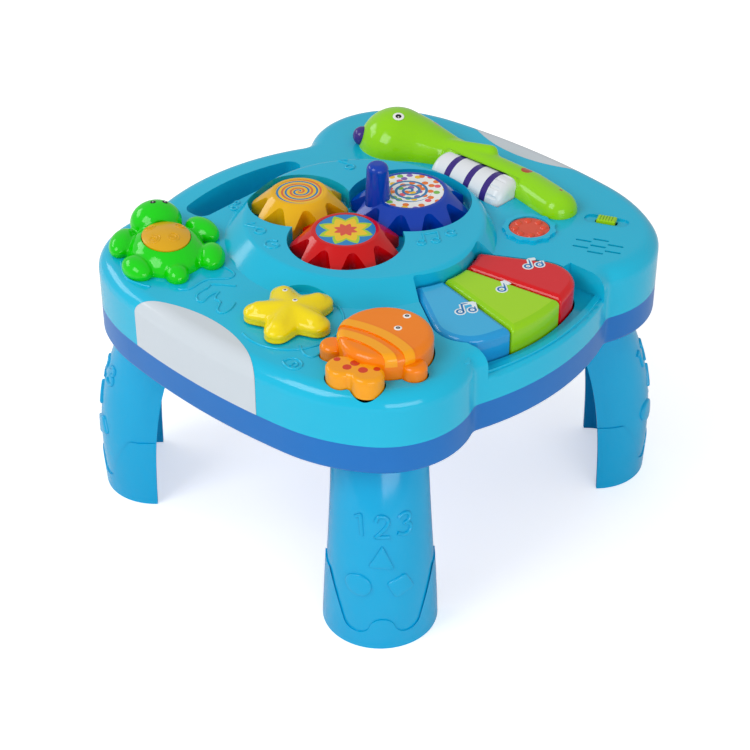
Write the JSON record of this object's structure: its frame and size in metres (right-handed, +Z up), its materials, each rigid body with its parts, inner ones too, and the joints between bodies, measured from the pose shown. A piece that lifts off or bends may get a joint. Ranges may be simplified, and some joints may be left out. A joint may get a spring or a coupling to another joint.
{
  "type": "musical activity table",
  "caption": "Low toy table for a baby: a rounded deck on splayed plug-in legs, with crank-driven gears, piano keys, animal push buttons, spinners and a carrying slot.",
  "frame": {"origin": "centre of the footprint box, on the floor under the feet", "axes": "+Z up, -Y towards the child at the piano keys, +X to the side with the dinosaur"},
  "size_m": [0.34, 0.3078, 0.241],
  "materials": {
    "deck_cyan": "smooth moulded",
    "base_blue": "moulded",
    "leg_blue": "smooth moulded",
    "panel_white": "smooth moulded",
    "red": "smooth moulded",
    "deep_blue": "smooth moulded",
    "yellow": "smooth moulded",
    "orange": "smooth moulded",
    "green": "smooth moulded",
    "lime": "smooth moulded",
    "purple": "smooth moulded",
    "amber": "smooth moulded",
    "key_blue": "smooth moulded",
    "coral": "translucent moulded",
    "label_print": "printed film",
    "rubber_grey": "moulded",
    "board_green": "laminate",
    "black_plastic": "moulded",
    "steel": "turned",
    "zinc": "plated",
    "cell": "printed sleeve"
  },
  "bodies": {
    "housing": {"top_shell": "deck_cyan", "bottom_shell": "base_blue", "leg_front_left": "leg_blue", "leg_front_right": "leg_blue", "leg_rear_left": "leg_blue", "leg_rear_right": "leg_blue", "side_panel_left": "panel_white", "side_panel_right": "panel_white", "blue_spindle": "black_plastic", "red_spindle": "black_plastic", "yellow_spindle": "black_plastic", "starfish_spindle": "black_plastic", "turtle_body": "green", "dino_body": "lime", "dino_snout": "purple", "roller_axle": "steel", "key_hinge_pin": "steel", "crab_lens": "coral", "crab_lamp": "panel_white", "slide_switch": "black_plastic", "speaker": "black_plastic", "circuit_board": "board_green", "drum_board": "board_green", "dome_do": "rubber_grey", "dome_re": "rubber_grey", "dome_mi": "rubber_grey", "dome_fish": "rubber_grey", "dome_drum": "rubber_grey", "battery_door": "base_blue", "battery_door_screw": "zinc", "batteries": "cell", "battery_contacts": "zinc", "housing_screws": "zinc", "board_screws": "zinc"},
    "blue_drive": {"blue_gear": "deep_blue", "blue_label": "label_print", "crank_knob": "deep_blue"},
    "red_wheel": {"red_gear": "red", "red_label": "label_print"},
    "yellow_wheel": {"yellow_gear": "yellow", "yellow_label": "label_print"},
    "star_spinner": {"starfish": "yellow"},
    "roller": {"belly_roller": "lime"},
    "fish_button": {"fish_body": "orange", "fish_tail": "orange"},
    "drum_button": {"turtle_drum_plate": "amber"},
    "do_key": {"key_do": "key_blue"},
    "re_key": {"key_re": "lime"},
    "mi_key": {"key_mi": "red"},
    "switch_knob": {"power_switch_slider": "lime"}
  },
  "joints": [
    {"name": "blue_gear_spin", "type": "hinge", "parent": "housing", "child": "blue_drive", "pos_m": [0.03548, 0.00707, 0.1963], "axis": [0, 0, 1], "continuous": true},
    {"name": "red_gear_spin", "type": "hinge", "parent": "housing", "child": "red_wheel", "pos_m": [-0.032, 0.00306, 0.1963], "axis": [0, 0, 1], "continuous": true},
    {"name": "yellow_gear_spin", "type": "hinge", "parent": "housing", "child": "yellow_wheel", "pos_m": [-0.01665, 0.06156, 0.1963], "axis": [0, 0, 1], "continuous": true},
    {"name": "starfish_spin", "type": "hinge", "parent": "housing", "child": "star_spinner", "pos_m": [-0.116, -0.02694, 0.199], "axis": [0, 0, 1], "continuous": true},
    {"name": "belly_roller_spin", "type": "hinge", "parent": "housing", "child": "roller", "pos_m": [0.098, 0.00006, 0.1955], "axis": [0, 1, 0], "continuous": true},
    {"name": "fish_press", "type": "slide", "parent": "housing", "child": "fish_button", "axis": [0, 0, -1], "range_m": [0, 0.004], "stiffness_N_per_m": 500, "springref_m": -0.002, "deforming": ["dome_fish"]},
    {"name": "drum_press", "type": "slide", "parent": "housing", "child": "drum_button", "axis": [0, 0, -1], "range_m": [0, 0.002], "stiffness_N_per_m": 400, "springref_m": -0.001, "deforming": ["dome_drum"]},
    {"name": "key_do_press", "type": "hinge", "parent": "housing", "child": "do_key", "pos_m": [0, -0.05294, 0.1915], "axis": [1, 0, 0], "range_deg": [0, 2.5], "stiffness_Nm_per_rad": 0.6, "springref_deg": -2.86, "deforming": ["dome_do"]},
    {"name": "key_re_press", "type": "hinge", "parent": "housing", "child": "re_key", "pos_m": [0, -0.05294, 0.1915], "axis": [1, 0, 0], "range_deg": [0, 2.5], "stiffness_Nm_per_rad": 0.6, "springref_deg": -2.86, "deforming": ["dome_re"]},
    {"name": "key_mi_press", "type": "hinge", "parent": "housing", "child": "mi_key", "pos_m": [0, -0.05294, 0.1915], "axis": [1, 0, 0], "range_deg": [0, 2.5], "stiffness_Nm_per_rad": 0.6, "springref_deg": -2.86, "deforming": ["dome_mi"]},
    {"name": "power_switch_slide", "type": "slide", "parent": "housing", "child": "switch_knob", "axis": [0.4067, -0.9135, 0], "range_m": [-0.004, 0.004]}
  ],
  "couplings": [
    {"joint": "red_gear_spin", "follows": "blue_gear_spin", "ratio": -1.1111},
    {"joint": "yellow_gear_spin", "follows": "blue_gear_spin", "ratio": 1.25}
  ]
}
